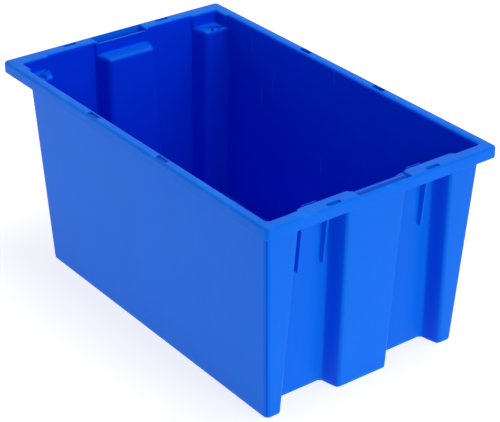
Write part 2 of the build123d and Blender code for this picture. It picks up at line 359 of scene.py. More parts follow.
@dataclass(frozen=True)
class Moulding:
    """The whole moulding, from its cavity side outwards. Sizes are in millimetres.

    Attributes:
        half_length: Half of the rim's length.
        half_width: Half of the rim's width.
        height: From the floor's underside to the rim's top.
        wall: Thickness of every wall, of the floor and of the rim.
        draft: How much a wall leans out for each millimetre of height.
        end_overhang: How far the rim stands out over an end wall.
        side_overhang: How far the rim stands out over a long wall.
        channel_depth: Depth of the channels in the ends.
        web_lean: How far the side of a channel moves in from its mouth to its back.
        b_centre_half: Half width of end B's centre panel at the base.
        b_corner_width: Width of end B's corner panels at the base.
        a_centre_half: Half width of end A's centre channel at the base.
        a_corner_width: Width of end A's corner recesses at the base.
        centre_side_draft: Draft of the channel sides next to a centre area.
        corner_side_draft: Draft of the channel sides next to a corner area.
        ledge_top: Height of the ledges.
        ledge_inset: How far the walls over the ledges are set in.
        skirt_bottom: Height of the skirt's lower edge.
        base_round: Rounding of the outer edge round the underside.
        corner_round: Rounding of end B's corners, seen from above.
        recess_round: Rounding of end A's corner recesses, seen from above.
        fold_round: Rounding where a channel's side meets its back.
        panel_round: Rounding of a raised panel's corners.
        step_round: Rounding of the steps between the panels and the set-in walls.
        step_foot_round: Rounding where the set-in wall leaves the long wall.
        ledge_round: Rounding of a ledge's front edge.
        rim_round_height: Height of the rounding from a wall into the rim.
        rim_round_wide: How far that rounding reaches out over a raised wall.
        rim_round_narrow: How far it reaches out over a set-in wall.
        rim_edge_round: Rounding of the rim's outer edge.
        rim_corner_round: Rounding of the rim's corners, seen from above.
        lip_round: Rounding of the skirt's lower edge.
        set_in_corner_less: How much tighter the corners over end A's ledges are than end B's.
        step_end_less: How much tighter the step at the end of a corner ledge is than the others.
        panel_round_growth: How much a panel's rounding grows as its wall rolls out by 1.
        step_round_growth: How much a step's rounding changes as its wall rolls out by 1.
        rim_fan: How far the rim's side fans out along the tote, for each millimetre across.
        corner_steps: How many edges go round a corner.
        fold_steps: How many go round a fold.
        panel_steps: How many go round a panel's corner, and round the foot of a step.
        step_steps: How many go round a step.
        edge_steps: How many faces go round the front of a ledge or the edge of the rim.
        lip_steps: How many go round the skirt's lower edge.
    """

    half_length: float = 228.6
    half_width: float = 139.7
    height: float = 223.5
    wall: float = 2.5
    draft: float = math.tan(math.radians(3.05))
    end_overhang: float = 12.2
    side_overhang: float = 8.8
    channel_depth: float = 21.5
    web_lean: float = 6.5
    b_centre_half: float = 30.0
    b_corner_width: float = 17.0
    a_centre_half: float = 38.5
    a_corner_width: float = 33.0
    centre_side_draft: float = math.tan(math.radians(1.4))
    corner_side_draft: float = math.tan(math.radians(2.45))
    ledge_top: float = 208.5
    ledge_inset: float = 3.0
    skirt_bottom: float = 211.4
    base_round: float = 1.5
    corner_round: float = 3.0
    recess_round: float = 6.5
    fold_round: float = 7.0
    panel_round: float = 1.5
    step_round: float = 2.6
    step_foot_round: float = 0.4
    ledge_round: float = 4.0
    rim_round_height: float = 3.2
    rim_round_wide: float = 4.0
    rim_round_narrow: float = 2.8
    rim_edge_round: float = 2.8
    rim_corner_round: float = 5.5
    lip_round: float = 0.7
    set_in_corner_less: float = 0.5
    step_end_less: float = 0.1
    panel_round_growth: float = 0.8
    step_round_growth: float = 0.6
    rim_fan: float = 0.4
    corner_steps: int = 6
    fold_steps: int = 5
    panel_steps: int = 3
    step_steps: int = 4
    edge_steps: int = 6
    lip_steps: int = 3

    # Plan of the walls

    @property
    def lean(self) -> float:
        """How far the side of a channel moves across for each millimetre along."""
        return self.web_lean / self.channel_depth

    @property
    def lean_length(self) -> float:
        """Length of the side of a channel for each millimetre along."""
        return math.hypot(1, self.lean)

    def face(self, z: float) -> float:
        """Outside of the raised end panels at a height."""
        return self.half_length - self.end_overhang - self.draft * (self.height - z)

    def side(self, z: float) -> float:
        """Outside of the long walls at a height."""
        return self.half_width - self.side_overhang - self.draft * (self.height - z)

    def panel_edges(self, z: float) -> Dict[str, float]:
        """The edges of the raised panels, across the tote, at a height.

        Args:
            z: The height.

        Returns:
            The edge of each panel by name.
        """
        base_side = self.side(0)
        return {
            "b_centre": self.b_centre_half + self.centre_side_draft * z,
            "b_corner": base_side - self.b_corner_width - self.corner_side_draft * z,
            "a_centre": self.a_centre_half - self.centre_side_draft * z,
            "a_corner": base_side - self.a_corner_width + self.corner_side_draft * z,
        }

    def web(self, end: End, edge: float, towards: int, z: float) -> List[Corner]:
        """One side of a channel, from the panel's face to the channel's back.

        Args:
            end: The end that it belongs to.
            edge: The edge of the raised panel on the outside.
            towards: 1 if the channel lies further out than the edge, -1 if nearer the middle.
            z: The height.

        Returns:
            The corner of the panel, the point where the step over the ledge begins, and the fold
            at the back of the channel.
        """
        slide = self.lean_length - self.lean
        face = self.face(z) - self.wall
        start = edge - towards * self.wall * slide
        turn = math.pi / 2 - math.atan(self.lean)
        step_tangent = self.step_round * math.tan(turn / 2)
        plain = self.ledge_inset - step_tangent / self.lean_length
        return [
            Corner(end.value * face, start, self.panel_round, self.panel_steps),
            Corner(end.value * (face - plain), start + towards * plain * self.lean),
            Corner(
                end.value * (face - self.channel_depth),
                start + towards * self.web_lean,
                self.fold_round,
                self.fold_steps,
                end.value,
                towards * slide,
            ),
        ]

    def lower_outline(self, z: float, roll: float = 0.0) -> List[Corner]:
        """The outline below the ledges, on the cavity side.

        Args:
            z: The height.
            roll: How far the front edges of the ledges have rolled over.

        Returns:
            Its corners in order.
        """
        edges = self.panel_edges(z)
        side = self.side(z) - self.wall
        face = self.face(z) - self.wall
        outer = self.web(End.B, edges["b_corner"], -1, z)
        inner = self.web(End.B, edges["b_centre"], 1, z)
        corner = Corner(face, side, self.corner_round, self.corner_steps)
        half_b = [corner, *outer, *inner[::-1]]
        outer = self.web(End.A, edges["a_corner"], 1, z)
        inner = self.web(End.A, edges["a_centre"], -1, z)
        recess = Corner(
            self.channel_depth - face, side, self.recess_round, self.corner_steps, -1.0
        )
        half_a = [recess, *outer[::-1], *inner]
        return [corner.rolled(roll) for corner in whole_outline(half_b, half_a)]

    def step(
        self, end: End, edge: float, towards: int, z: float, out: float, in_out: float
    ) -> List[Corner]:
        """The step between a raised panel and the set-in wall over a ledge.

        Args:
            end: The end that it belongs to.
            edge: The edge of the raised panel on the outside, at the ledge.
            towards: 1 if the set-in wall lies further out than the edge, -1 if nearer the middle.
            z: The height.
            out: How far the raised wall has rolled outwards into the rim.
            in_out: How far the set-in wall has rolled outwards into the rim.

        Returns:
            The corner of the panel and the corner of the set-in wall.
        """
        face = self.face(z) - self.wall
        start = edge - towards * self.wall * (self.lean_length - self.lean)
        moved = towards * self.lean_length * in_out
        set_in = self.ledge_inset - in_out
        return [
            Corner(
                end.value * (face + out),
                start - towards * out * self.lean + moved,
                self.panel_round + self.panel_round_growth * out,
                self.panel_steps,
            ),
            Corner(
                end.value * (face - set_in),
                start + towards * set_in * self.lean + moved,
                self.step_round - self.step_round_growth * in_out,
                self.step_steps,
            ),
        ]

    def upper_outline(self, z: float, out: float = 0.0, in_out: float = 0.0) -> List[Corner]:
        """The outline above the ledges, on the cavity side.

        Args:
            z: The height.
            out: How far the raised and the long walls have rolled outwards into the rim.
            in_out: How far the set-in walls have.

        Returns:
            Its corners in order.
        """
        edges = self.panel_edges(self.ledge_top)
        side = self.side(z) - self.wall + out
        set_in_y = self.side(z) - self.wall - self.ledge_inset + in_out
        set_in_x = self.face(z) - self.wall - self.ledge_inset + in_out
        step_x = self.face(self.ledge_top) - self.channel_depth - self.wall
        outer = self.step(End.B, edges["b_corner"], -1, z, out, in_out)
        inner = self.step(End.B, edges["b_centre"], 1, z, out, in_out)
        corner_x = self.face(z) - self.wall + out
        corner = Corner(corner_x, side, self.corner_round + out, self.corner_steps)
        half_b = [corner, *outer, *inner[::-1]]
        outer = self.step(End.A, edges["a_corner"], 1, z, out, in_out)
        inner = self.step(End.A, edges["a_centre"], -1, z, out, in_out)
        growth = self.step_round_growth
        foot_round = self.step_foot_round + growth * out
        end_round = self.step_round - self.step_end_less - growth * in_out
        set_in_round = self.corner_round - self.set_in_corner_less + in_out
        half_a = [
            Corner(-(step_x + self.ledge_round - self.recess_round), side),
            Corner(-(step_x + in_out), side, foot_round, self.panel_steps),
            Corner(-(step_x + in_out), set_in_y, end_round, self.step_steps),
            Corner(-set_in_x, set_in_y, set_in_round, self.corner_steps),
            *outer[::-1],
            *inner,
        ]
        return whole_outline(half_b, half_a)

    def rim_place(self, start: Vector, inset: float, z: float) -> Point:
        """Where a point of the rim's inner edge comes out on the rim's outer edge.

        Args:
            start: The point on the inner edge.
            inset: How far inside the rim's edge it comes out.
            z: The height that it comes out at.

        Returns:
            The place on the outer edge. Straight runs go straight out, and a corner fans out.
        """
        x_sign, y_sign = math.copysign(1, start.x), math.copysign(1, start.y)
        along, across = abs(start.x), abs(start.y)
        face, side = self.face(self.height) - self.wall, self.side(self.height) - self.wall
        set_in = self.ledge_inset - self.set_in_corner_less if start.x < 0 else 0.0
        centre_x = face - self.corner_round - set_in
        centre_y = side - self.corner_round - set_in
        outer_x, outer_y = self.half_length - inset, self.half_width - inset
        if along > centre_x + MERGE and across > centre_y + MERGE:
            angle = math.atan2(across - centre_y, along - centre_x)
            radius = self.rim_corner_round - inset
            x = outer_x - radius + radius * math.cos(angle)
            y = outer_y - radius + radius * math.sin(angle)
        elif across > centre_y:
            x = along + self.rim_fan * (side + self.rim_round_wide - across)
            y = outer_y
        else:
            x, y = outer_x, across
        return (x_sign * x, y_sign * y, z)

    # The sheet

    def lower_sheet(self) -> BMesh:
        """The cavity side below the ledges, with the floor.

        Returns:
            The sheet as a new mesh.
        """
        sections = [Section(self.lower_outline(self.wall), self.wall)]
        for angle in quarter(self.edge_steps):
            z = self.ledge_top - self.ledge_round * (1 - math.sin(angle))
            roll = self.ledge_round * (1 - math.cos(angle))
            sections.append(Section(self.lower_outline(z, roll), z))
        bm = loft(sections)
        bmesh.ops.contextual_create(bm, geom=boundary(bm, high=self.wall + MERGE))
        return bm

    def upper_sheet(self) -> BMesh:
        """The cavity side above the ledges, up to the rim's flat top.

        Returns:
            The sheet as a new mesh.
        """
        sections = [Section(self.upper_outline(self.ledge_top), self.ledge_top)]
        for angle in quarter(self.edge_steps):
            z = self.height - self.rim_round_height * (1 - math.sin(angle))
            share = 1 - math.cos(angle)
            out, in_out = share * self.rim_round_wide, share * self.rim_round_narrow
            sections.append(Section(self.upper_outline(z, out, in_out), z))
        return loft(sections)

    def spread_rim(self, bm: BMesh) -> None:
        """Draws the rim's top, its rounded outer edge and the skirt out of the inner edge.

        Args:
            bm: The sheet, which is open at the rim's inner edge.
        """
        rows = []
        for angle in quarter(self.edge_steps):
            inset = self.rim_edge_round * (1 - math.sin(angle))
            rows.append((inset, self.height - self.rim_edge_round * (1 - math.cos(angle))))
        for angle in quarter(self.lip_steps):
            inset = self.lip_round * (1 - math.cos(angle))
            rows.append((inset, self.skirt_bottom + self.lip_round * (1 - math.sin(angle))))
        edges = boundary(bm, self.height - MERGE)
        starts = {}
        for row, (inset, z) in enumerate(rows):
            drawn = bmesh.ops.extrude_edge_only(bm, edges=edges)["geom"]
            edges, verts = of_kind(drawn, BMEdge), of_kind(drawn, BMVert)
            if row == 0:
                starts = {vert: vert.co.copy() for vert in verts}
                moved = starts
            else:
                moved = {}
                for vert in verts:
                    behind = [edge.other_vert(vert) for edge in vert.link_edges]
                    source = next(other for other in behind if other in starts)
                    moved[vert] = starts[source]
                starts = moved
            for vert, start in moved.items():
                vert.co = self.rim_place(start, inset, z)
            edges = [edge for edge in edges if len(edge.link_faces) == 1]

    def sheet(self) -> BMesh:
        """The whole cavity side as one open sheet whose faces look at the cavity.

        Returns:
            The sheet as a new mesh.
        """
        bm = self.lower_sheet()
        load_into(bm, stored(self.upper_sheet(), "upper"))
        bmesh.ops.remove_doubles(bm, verts=bm.verts, dist=MERGE)
        ledge_edges = boundary(bm, self.ledge_top - MERGE, self.ledge_top + MERGE)
        ledges = bmesh.ops.holes_fill(bm, edges=ledge_edges, sides=0)["faces"]
        log.info("ledges filled: %d", len(ledges))
        self.spread_rim(bm)
        bmesh.ops.recalc_face_normals(bm, faces=bm.faces)
        floor = max(bm.faces, key=lambda face: -face.calc_center_median().z)
        if floor.normal.z < 0:
            bmesh.ops.reverse_faces(bm, faces=bm.faces)
        return bm


@dataclass(frozen=True)
class Openings:
    """The lid slots and the hand holds, as solids that are cut out of the rim.

    Attributes:
        side_offset: How far the slots in the long sides are from the middle.
        side_size: Length and width of a slot in a long side.
        end_offset: How far the slots in the ends are from the middle.
        end_size: Length and width of a slot in an end, along and across the tote.
        edge_distance: From the rim's edge to a slot.
        hold_half_width: Half width of a hand hold.
        hold_floor: Height of the wall's edge in a hand hold.
        hold_start: Where a hand hold begins, along the tote.
        slot_floor: How far down the slots are cut, which is under the rim.
        corner: Rounding of the corners.
        corner_steps: How many edges go round a corner.
        flare: How far the top edges are broken.
    """

    side_offset: float = 59.5
    side_size: Tuple[float, float] = (17.0, 5.0)
    end_offset: float = 60.0
    end_size: Tuple[float, float] = (5.0, 15.5)
    edge_distance: float = 2.7
    hold_half_width: float = 32.0
    hold_floor: float = 220.85
    hold_start: float = 206.0
    slot_floor: float = 214.0
    corner: float = 1.1
    corner_steps: int = 4
    flare: float = 0.5

    def cutter(self, low: Point, high: Point) -> BMesh:
        """A solid that cuts one opening, with rounded corners and a broken top edge.

        Args:
            low: Its lowest corner.
            high: The corner on the rim's top.

        Returns:
            The solid as a new mesh.
        """
        bm = bmesh.new()
        bmesh.ops.create_grid(bm, x_segments=1, y_segments=1, size=0.5)
        size = Vector((high[0] - low[0], high[1] - low[1], 1))
        bmesh.ops.scale(bm, vec=size, verts=bm.verts)
        soften(bm, bm.verts, self.corner, self.corner_steps, "VERTICES", clamp=False)
        top = bm.faces[:]
        rises = ((high[2] - self.flare - low[2], 0.0), (2 * self.flare, 2 * self.flare))
        for rise, spread in rises:
            below = top
            raised = bmesh.ops.extrude_face_region(bm, geom=below)["geom"]
            verts, top = of_kind(raised, BMVert), of_kind(raised, BMFace)
            bmesh.ops.translate(bm, vec=(0, 0, rise), verts=verts)
            grown = (1 + 2 * spread / size.x, 1 + 2 * spread / size.y, 1)
            bmesh.ops.scale(bm, vec=grown, verts=verts)
            if spread > 0:  # the face between the two rises would stay inside the solid
                bmesh.ops.delete(bm, geom=below, context="FACES_ONLY")
        middle = ((high[0] + low[0]) / 2, (high[1] + low[1]) / 2, low[2])
        bmesh.ops.translate(bm, vec=middle, verts=bm.verts)
        bmesh.ops.recalc_face_normals(bm, faces=bm.faces)
        return bm

    def cutters(self, moulding: Moulding) -> BMesh:
        """All the solids that are cut away.

        Args:
            moulding: The moulding that they are cut from.

        Returns:
            The solids as one new mesh.
        """
        bm = bmesh.new()
        top = moulding.height
        slot_y = moulding.half_width - self.edge_distance - self.side_size[1] / 2
        slot_x = moulding.half_length - self.edge_distance - self.end_size[0] / 2
        side_x, end_y = self.side_offset, self.end_offset
        places = [(x, y, self.side_size) for x in (-side_x, side_x) for y in (-slot_y, slot_y)]
        places += [(x, y, self.end_size) for x in (-slot_x, slot_x) for y in (-end_y, end_y)]
        for x, y, (length, width) in places:
            low = (x - length / 2, y - width / 2, self.slot_floor)
            high = (x + length / 2, y + width / 2, top)
            load_into(bm, stored(self.cutter(low, high), "slot"))
        inner_skirt = moulding.half_length - moulding.wall
        for x_low, x_high in ((-inner_skirt, -self.hold_start), (self.hold_start, inner_skirt)):
            low = (x_low, -self.hold_half_width, self.hold_floor)
            high = (x_high, self.hold_half_width, top)
            load_into(bm, stored(self.cutter(low, high), "hold"))
        return bm


# ---------------------------------------------------------------------------------------------
# Finish


Number = Union[float, int, "Shade"]


class Shade:
    """A value inside a material, which is worked with like a number."""

    def __init__(self, graph: "Graph", socket: bpy.types.NodeSocket) -> None:
        """Keeps the material's graph and the socket that gives the value."""
        self.graph = graph
        self.socket = socket

    def _with(self, operation: str, first: Number, second: Number) -> "Shade":
        """A Math node on two values.

        Args:
            operation: What the node does.
            first: Its first value.
            second: Its second value.

        Returns:
            The node's result.
        """
        node = self.graph.add("ShaderNodeMath", {"operation": operation}, {0: first, 1: second})
        return Shade(self.graph, node.outputs[0])

    def __add__(self, other: Number) -> "Shade":
        """The sum."""
        return self._with("ADD", self, other)

    __radd__ = __add__

    def __sub__(self, other: Number) -> "Shade":
        """The difference."""
        return self._with("SUBTRACT", self, other)

    def __rsub__(self, other: Number) -> "Shade":
        """The difference, the other way round."""
        return self._with("SUBTRACT", other, self)

    def __mul__(self, other: Number) -> "Shade":
        """The product."""
        return self._with("MULTIPLY", self, other)

    __rmul__ = __mul__

    def size(self) -> "Shade":
        """The value without its sign."""
        return self._with("ABSOLUTE", self, 0.0)

    def over(self, limit: Number) -> "Shade":
        """1 where the value is above a limit, and 0 elsewhere."""
        return self._with("GREATER_THAN", self, limit)

    def clipped(self) -> "Shade":
        """The value kept between 0 and 1."""
        return self._with("MINIMUM", self._with("MAXIMUM", self, 0.0), 1.0)

    def ramp(self, low: float, high: float) -> "Shade":
        """The value as a soft step.

        Args:
            low: The value that gives 0.
            high: The value that gives 1.

        Returns:
            The step.
        """
        node = self.graph.add(
            "ShaderNodeMapRange",
            {"interpolation_type": "SMOOTHSTEP"},
            {"Value": self, "From Min": low, "From Max": high},
        )
        return Shade(self.graph, node.outputs["Result"])


@dataclass(frozen=True)
class Blotches:
    """Soft noise in space, and the marks that its peaks leave.

    Attributes:
        scale: How many blobs there are in a metre.
        detail: How many finer layers the noise has.
        upward: How much it is squeezed upwards, which is under 1 for streaks.
        low: The noise where a mark begins.
        high: The noise where a mark is full.
    """

    scale: float
    detail: float
    upward: float = 1.0
    low: float = 0.5
    high: float = 1.0


class Graph:
    """The nodes of one material."""

    def __init__(self, name: str) -> None:
        """Starts a material with a shader and its output."""
        self.material = bpy.data.materials.new(name)
        self.material.use_nodes = True
        self.tree = self.material.node_tree
        self.shader = self.tree.nodes["Principled BSDF"]
        self.place = self.add("ShaderNodeTexCoord").outputs["Object"]

    def add(
        self,
        kind: str,
        settings: Optional[Dict[str, Any]] = None,
        inputs: Optional[Dict[Any, Any]] = None,
    ) -> bpy.types.Node:
        """Adds a node.

        Args:
            kind: The node's type.
            settings: Its own settings, which are set first.
            inputs: The value or the link of each socket, by name or number.

        Returns:
            The node.
        """
        node = self.tree.nodes.new(kind)
        for name, value in (settings or {}).items():
            setattr(node, name, value)
        for key, value in (inputs or {}).items():
            self.feed(node.inputs[key], value)
        return node

    def feed(self, socket: bpy.types.NodeSocket, value: Any) -> None:
        """Links or sets a socket.

        Args:
            socket: The socket.
            value: A shade, another socket or a plain value.
        """
        if isinstance(value, Shade):
            value = value.socket
        if isinstance(value, bpy.types.NodeSocket):
            self.tree.links.new(value, socket)
        else:
            socket.default_value = value

    def noise(self, kind: Blotches) -> Shade:
        """Soft noise in space, around 0.5."""
        squeezed = {"Vector": self.place, "Scale": (1, 1, kind.upward)}
        inputs = {
            "Vector": self.add("ShaderNodeMapping", {}, squeezed).outputs[0],
            "Scale": kind.scale,
            "Detail": kind.detail,
            "Roughness": NOISE_ROUGHNESS,
        }
        return Shade(self, self.add("ShaderNodeTexNoise", {}, inputs).outputs[0])

    def marks(self, kind: Blotches) -> Shade:
        """Marks where the noise peaks, from 0 to 1."""
        return self.noise(kind).ramp(kind.low, kind.high)

    def axes(self) -> Tuple[Shade, Shade, Shade]:
        """The place along each axis, in millimetres."""
        node = self.add("ShaderNodeSeparateXYZ", {}, {0: self.place})
        return tuple(Shade(self, output) * (1 / MM) for output in node.outputs)

    def blend(self, share: Shade, first: Any, second: Any) -> bpy.types.NodeSocket:
        """A mix of two colours.

        Args:
            share: How much of the second there is.
            first: The first colour.
            second: The second colour.

        Returns:
            The mixed colour.
        """
        node = self.add("ShaderNodeMix", {"data_type": "RGBA"}, {"Factor": share})
        self.feed(node.inputs[6], first)
        self.feed(node.inputs[7], second)
        return node.outputs[2]

    def bump(self, height: Shade, strength: float, distance: float, under: Any = None) -> Any:
        """A bump from a height.

        Args:
            height: The height.
            strength: How much of it shows.
            distance: The depth that a height of 1 stands for, in metres.
            under: The normal that it is laid over.

        Returns:
            The bumped normal.
        """
        inputs = {"Height": height, "Strength": strength, "Distance": distance}
        if under is not None:
            inputs["Normal"] = under
        return self.add("ShaderNodeBump", {}, inputs).outputs[0]


@dataclass(frozen=True)
class MouldedBlue:
    """Satin polyethylene as it comes out of the mould, used for some time.

    Attributes:
        deep: The colour outside where the resin is densest.
        bright: The colour outside where it is a little paler.
        shaded_inner_deep: A deeper copy of the colour, painted inside the tote as its shade, at
            its densest.
        shaded_inner_bright: The same painted shade where the colour is a little paler.
        worn: The colour of worn edges and scuffs.
        roughness: The roughness of the clean surface.
        gloss: How strongly it mirrors its surroundings.
        sheen: The colour of what it mirrors.
        ledge_highlight: How far the painted shade of the inside is taken off the fronts of the
            ledges, which paints a highlight on them.
        web_shade: How far the sides of the channels take the colour of the inside, which paints
            shade on them.
        clouds: The broad changes of the colour and the roughness.
        flow: The streaks that the resin leaves as it runs up the walls.
        grain: The finest grain of the surface.
        peel: The soft unevenness of the surface.
        drag: The upright scratches of nesting.
        patches: Where those scratches show.
        rim_marks: The worn spots of the rim.
        foot_marks: The worn spots of the base.
        cloud_tone: How much the clouds change the colour.
        flow_tone: How much the streaks do.
        tone_drop: How far the colour leans to the deeper side.
        scuff_wear: How strongly scratches show the worn colour.
        rim_wear: How strongly the rim's spots do.
        foot_wear: How strongly the base's spots do.
        rim_rub_height: How far down from its top the rim is worn, in millimetres.
        foot_rub_height: How far up the base is worn, in millimetres.
        front_spread: Half the width over which the painted highlight on a ledge's front fades, in
            millimetres.
        front_low: How far under its ledge the painted highlight on the front begins, in
            millimetres.
        front_high: How far under its ledge the painted highlight is full, in millimetres.
        cloud_rough: How much the clouds change the roughness.
        grain_rough: How much the grain does.
        wear_rough: How much wear does.
        peel_bump: How much the unevenness shows, and its depth in metres.
        grain_bump: The same for the grain.
        scuff_bump: The same for the scratches.
        refraction: The resin's index of refraction.
    """

    deep: Colour = (0.0, 0.125, 0.72, 1)
    bright: Colour = (0.002, 0.165, 0.86, 1)
    # Deeper copies of the blue, painted inside the tote as its shade.
    shaded_inner_deep: Colour = (0.0, 0.03, 0.68, 1)
    shaded_inner_bright: Colour = (0.0, 0.045, 0.78, 1)
    worn: Colour = (0.015, 0.26, 0.92, 1)
    roughness: float = 0.40
    gloss: float = 0.1
    sheen: Colour = (0.25, 0.55, 1.0, 1)
    # Painted highlight: the fronts of the ledges lose part of the painted shade of the inside.
    ledge_highlight: float = 0.65
    # Painted shade on the sides of the channels, in the colour of the inside.
    web_shade: float = 0.65
    clouds: Blotches = Blotches(7.0, 3.0)
    flow: Blotches = Blotches(26.0, 4.0, upward=0.18)
    grain: Blotches = Blotches(1300.0, 2.0)
    peel: Blotches = Blotches(170.0, 2.0)
    drag: Blotches = Blotches(150.0, 3.0, upward=0.03, low=0.64, high=0.74)
    patches: Blotches = Blotches(14.0, 3.0, low=0.5, high=0.68)
    rim_marks: Blotches = Blotches(55.0, 4.0, low=0.5, high=0.75)
    foot_marks: Blotches = Blotches(90.0, 3.0, low=0.4, high=0.7)
    cloud_tone: float = 0.75
    flow_tone: float = 0.35
    tone_drop: float = 0.05
    scuff_wear: float = 0.35
    rim_wear: float = 0.4
    foot_wear: float = 0.55
    rim_rub_height: float = 4.0
    foot_rub_height: float = 7.0
    front_spread: float = 1.5
    front_low: float = 5.0
    front_high: float = 1.0
    cloud_rough: float = 0.14
    grain_rough: float = 0.08
    wear_rough: float = 0.2
    peel_bump: Span = (0.22, 0.0004)
    grain_bump: Span = (0.25, 0.00012)
    scuff_bump: Span = (0.25, 0.0001)
    refraction: float = 1.5

    def inside(self, moulding: Moulding, x: Shade, y: Shade, z: Shade) -> Shade:
        """Where the inside of the tote is, up to the middle of its walls, which gets painted
        shade.

        Args:
            moulding: The sizes of the moulding.
            x: The place along the tote, in millimetres.
            y: The place across it.
            z: The height.

        Returns:
            1 inside, where the deeper colours paint the shade of the cavity, less on the
            fronts of the ledges, which paints a highlight there, a share on the sides of the
            channels, which paints their shade, and 0 outside and on the rim.
        """
        middle = moulding.wall / 2
        across = y.size()
        edges = moulding.panel_edges(z)
        per_mm = 1 / moulding.web_lean
        centre_panel = ((edges["b_centre"] - across) * per_mm + 1).clipped()
        corner_panel = ((across - edges["b_corner"]) * per_mm + 1).clipped()
        raised_panel = (((across - edges["a_centre"]) * per_mm + 1).clipped()
                        * ((edges["a_corner"] - across) * per_mm + 1).clipped())
        channel_b = (1 - centre_panel) * (1 - corner_panel)
        channel_a = 1 - raised_panel
        at_b = x.over(0.0)
        channel = channel_b * at_b + channel_a * (1 - at_b)
        above = z.over(moulding.ledge_top - middle)
        depth = above * moulding.ledge_inset + (1 - above) * moulding.channel_depth
        along = (moulding.face(z) - middle - channel * depth - x.size()).over(0.0)
        between = (moulding.side(z) - middle - across).over(0.0)
        under_rim = 1 - z.over(moulding.height - middle)
        ledge_front = moulding.face(moulding.ledge_top) - moulding.channel_depth - moulding.wall
        front = x.size().ramp(ledge_front - self.front_spread, ledge_front + self.front_spread)
        ledge_top = moulding.ledge_top
        height = z.ramp(ledge_top - self.front_low, ledge_top - self.front_high)
        # Painted highlight on the rounded fronts of the ledges, which lose part of the painted
        # shade.
        highlit_fronts = channel * front * height * (1 - z.over(moulding.ledge_top + middle))
        inside = along * between * under_rim * z.over(middle) * (1 - highlit_fronts * self.ledge_highlight)
        # Painted shade on the sides of the channels below the ledges.
        shaded_webs = (channel * (1 - channel) * 4).clipped() * (1 - above) * self.web_shade
        return inside + (1 - inside) * shaded_webs

    def material(self, moulding: Moulding) -> bpy.types.Material:
        """Makes the material.

        Args:
            moulding: The sizes of the moulding.

        Returns:
            The material.
        """
        graph = Graph("moulded_blue")
        clouds, flow = graph.noise(self.clouds), graph.noise(self.flow)
        grain, peel = graph.noise(self.grain), graph.noise(self.peel)
        scuffs = graph.marks(self.drag) * graph.marks(self.patches)
        x, y, z = graph.axes()
        top = moulding.height
        rim_rub = z.ramp(top - self.rim_rub_height, top) * graph.marks(self.rim_marks)
        foot_rub = (1 - z.ramp(0.0, self.foot_rub_height)) * graph.marks(self.foot_marks)
        wear = scuffs * self.scuff_wear + rim_rub * self.rim_wear + foot_rub * self.foot_wear
        wear = wear.clipped()
        tone = (clouds * self.cloud_tone + flow * self.flow_tone - self.tone_drop).clipped()
        outer = graph.blend(tone, self.deep, self.bright)
        # The inside gets the deeper copies of the blue: painted shade.
        inner = graph.blend(tone, self.shaded_inner_deep, self.shaded_inner_bright)
        body = graph.blend(self.inside(moulding, x, y, z), outer, inner)
        graph.feed(graph.shader.inputs["Base Color"], graph.blend(wear, body, self.worn))
        rough = self.roughness + (clouds - 0.5) * self.cloud_rough
        rough = rough + (grain - 0.5) * self.grain_rough + wear * self.wear_rough
        graph.feed(graph.shader.inputs["Roughness"], rough.clipped())
        normal = graph.bump(peel, *self.peel_bump)
        normal = graph.bump(grain, *self.grain_bump, normal)
        normal = graph.bump(scuffs, *self.scuff_bump, normal)
        graph.feed(graph.shader.inputs["Normal"], normal)
        graph.shader.inputs["IOR"].default_value = self.refraction
        graph.shader.inputs["Specular IOR Level"].default_value = self.gloss
        graph.shader.inputs["Specular Tint"].default_value = self.sheen
        return graph.material


@dataclass(frozen=True)
class PaleFloor:
    """The pale studio floor.

    Attributes:
        colour: Its colour.
        glow: How strongly it glows, which keeps it pale under soft light.
        clouds: The slight unevenness of its colour.
        cloud_share: How much of the paler colour the clouds can bring in.
        paler: The second colour as a share of the first.
        roughness: Its roughness.
        gloss: How strongly it mirrors its surroundings.
    """

    colour: Colour = (0.4, 0.4, 0.4, 1)
    glow: float = 0.75
    clouds: Blotches = Blotches(2.0, 1.0)
    cloud_share: float = 0.04
    paler: float = 0.97
    roughness: float = 0.8
    gloss: float = 0.1

    def material(self) -> bpy.types.Material:
        """Makes the material.

        Returns:
            The material.
        """
        graph = Graph("pale_floor")
        tone = graph.noise(self.clouds) * self.cloud_share
        paler = tuple(self.paler * part for part in self.colour[:3]) + (1.0,)
        graph.feed(graph.shader.inputs["Base Color"], graph.blend(tone, self.colour, paler))
        graph.shader.inputs["Roughness"].default_value = self.roughness
        graph.shader.inputs["Emission Color"].default_value = (1, 1, 1, 1)
        graph.shader.inputs["Emission Strength"].default_value = self.glow
        graph.shader.inputs["Specular IOR Level"].default_value = self.gloss
        return graph.material


# ---------------------------------------------------------------------------------------------
# Pieces


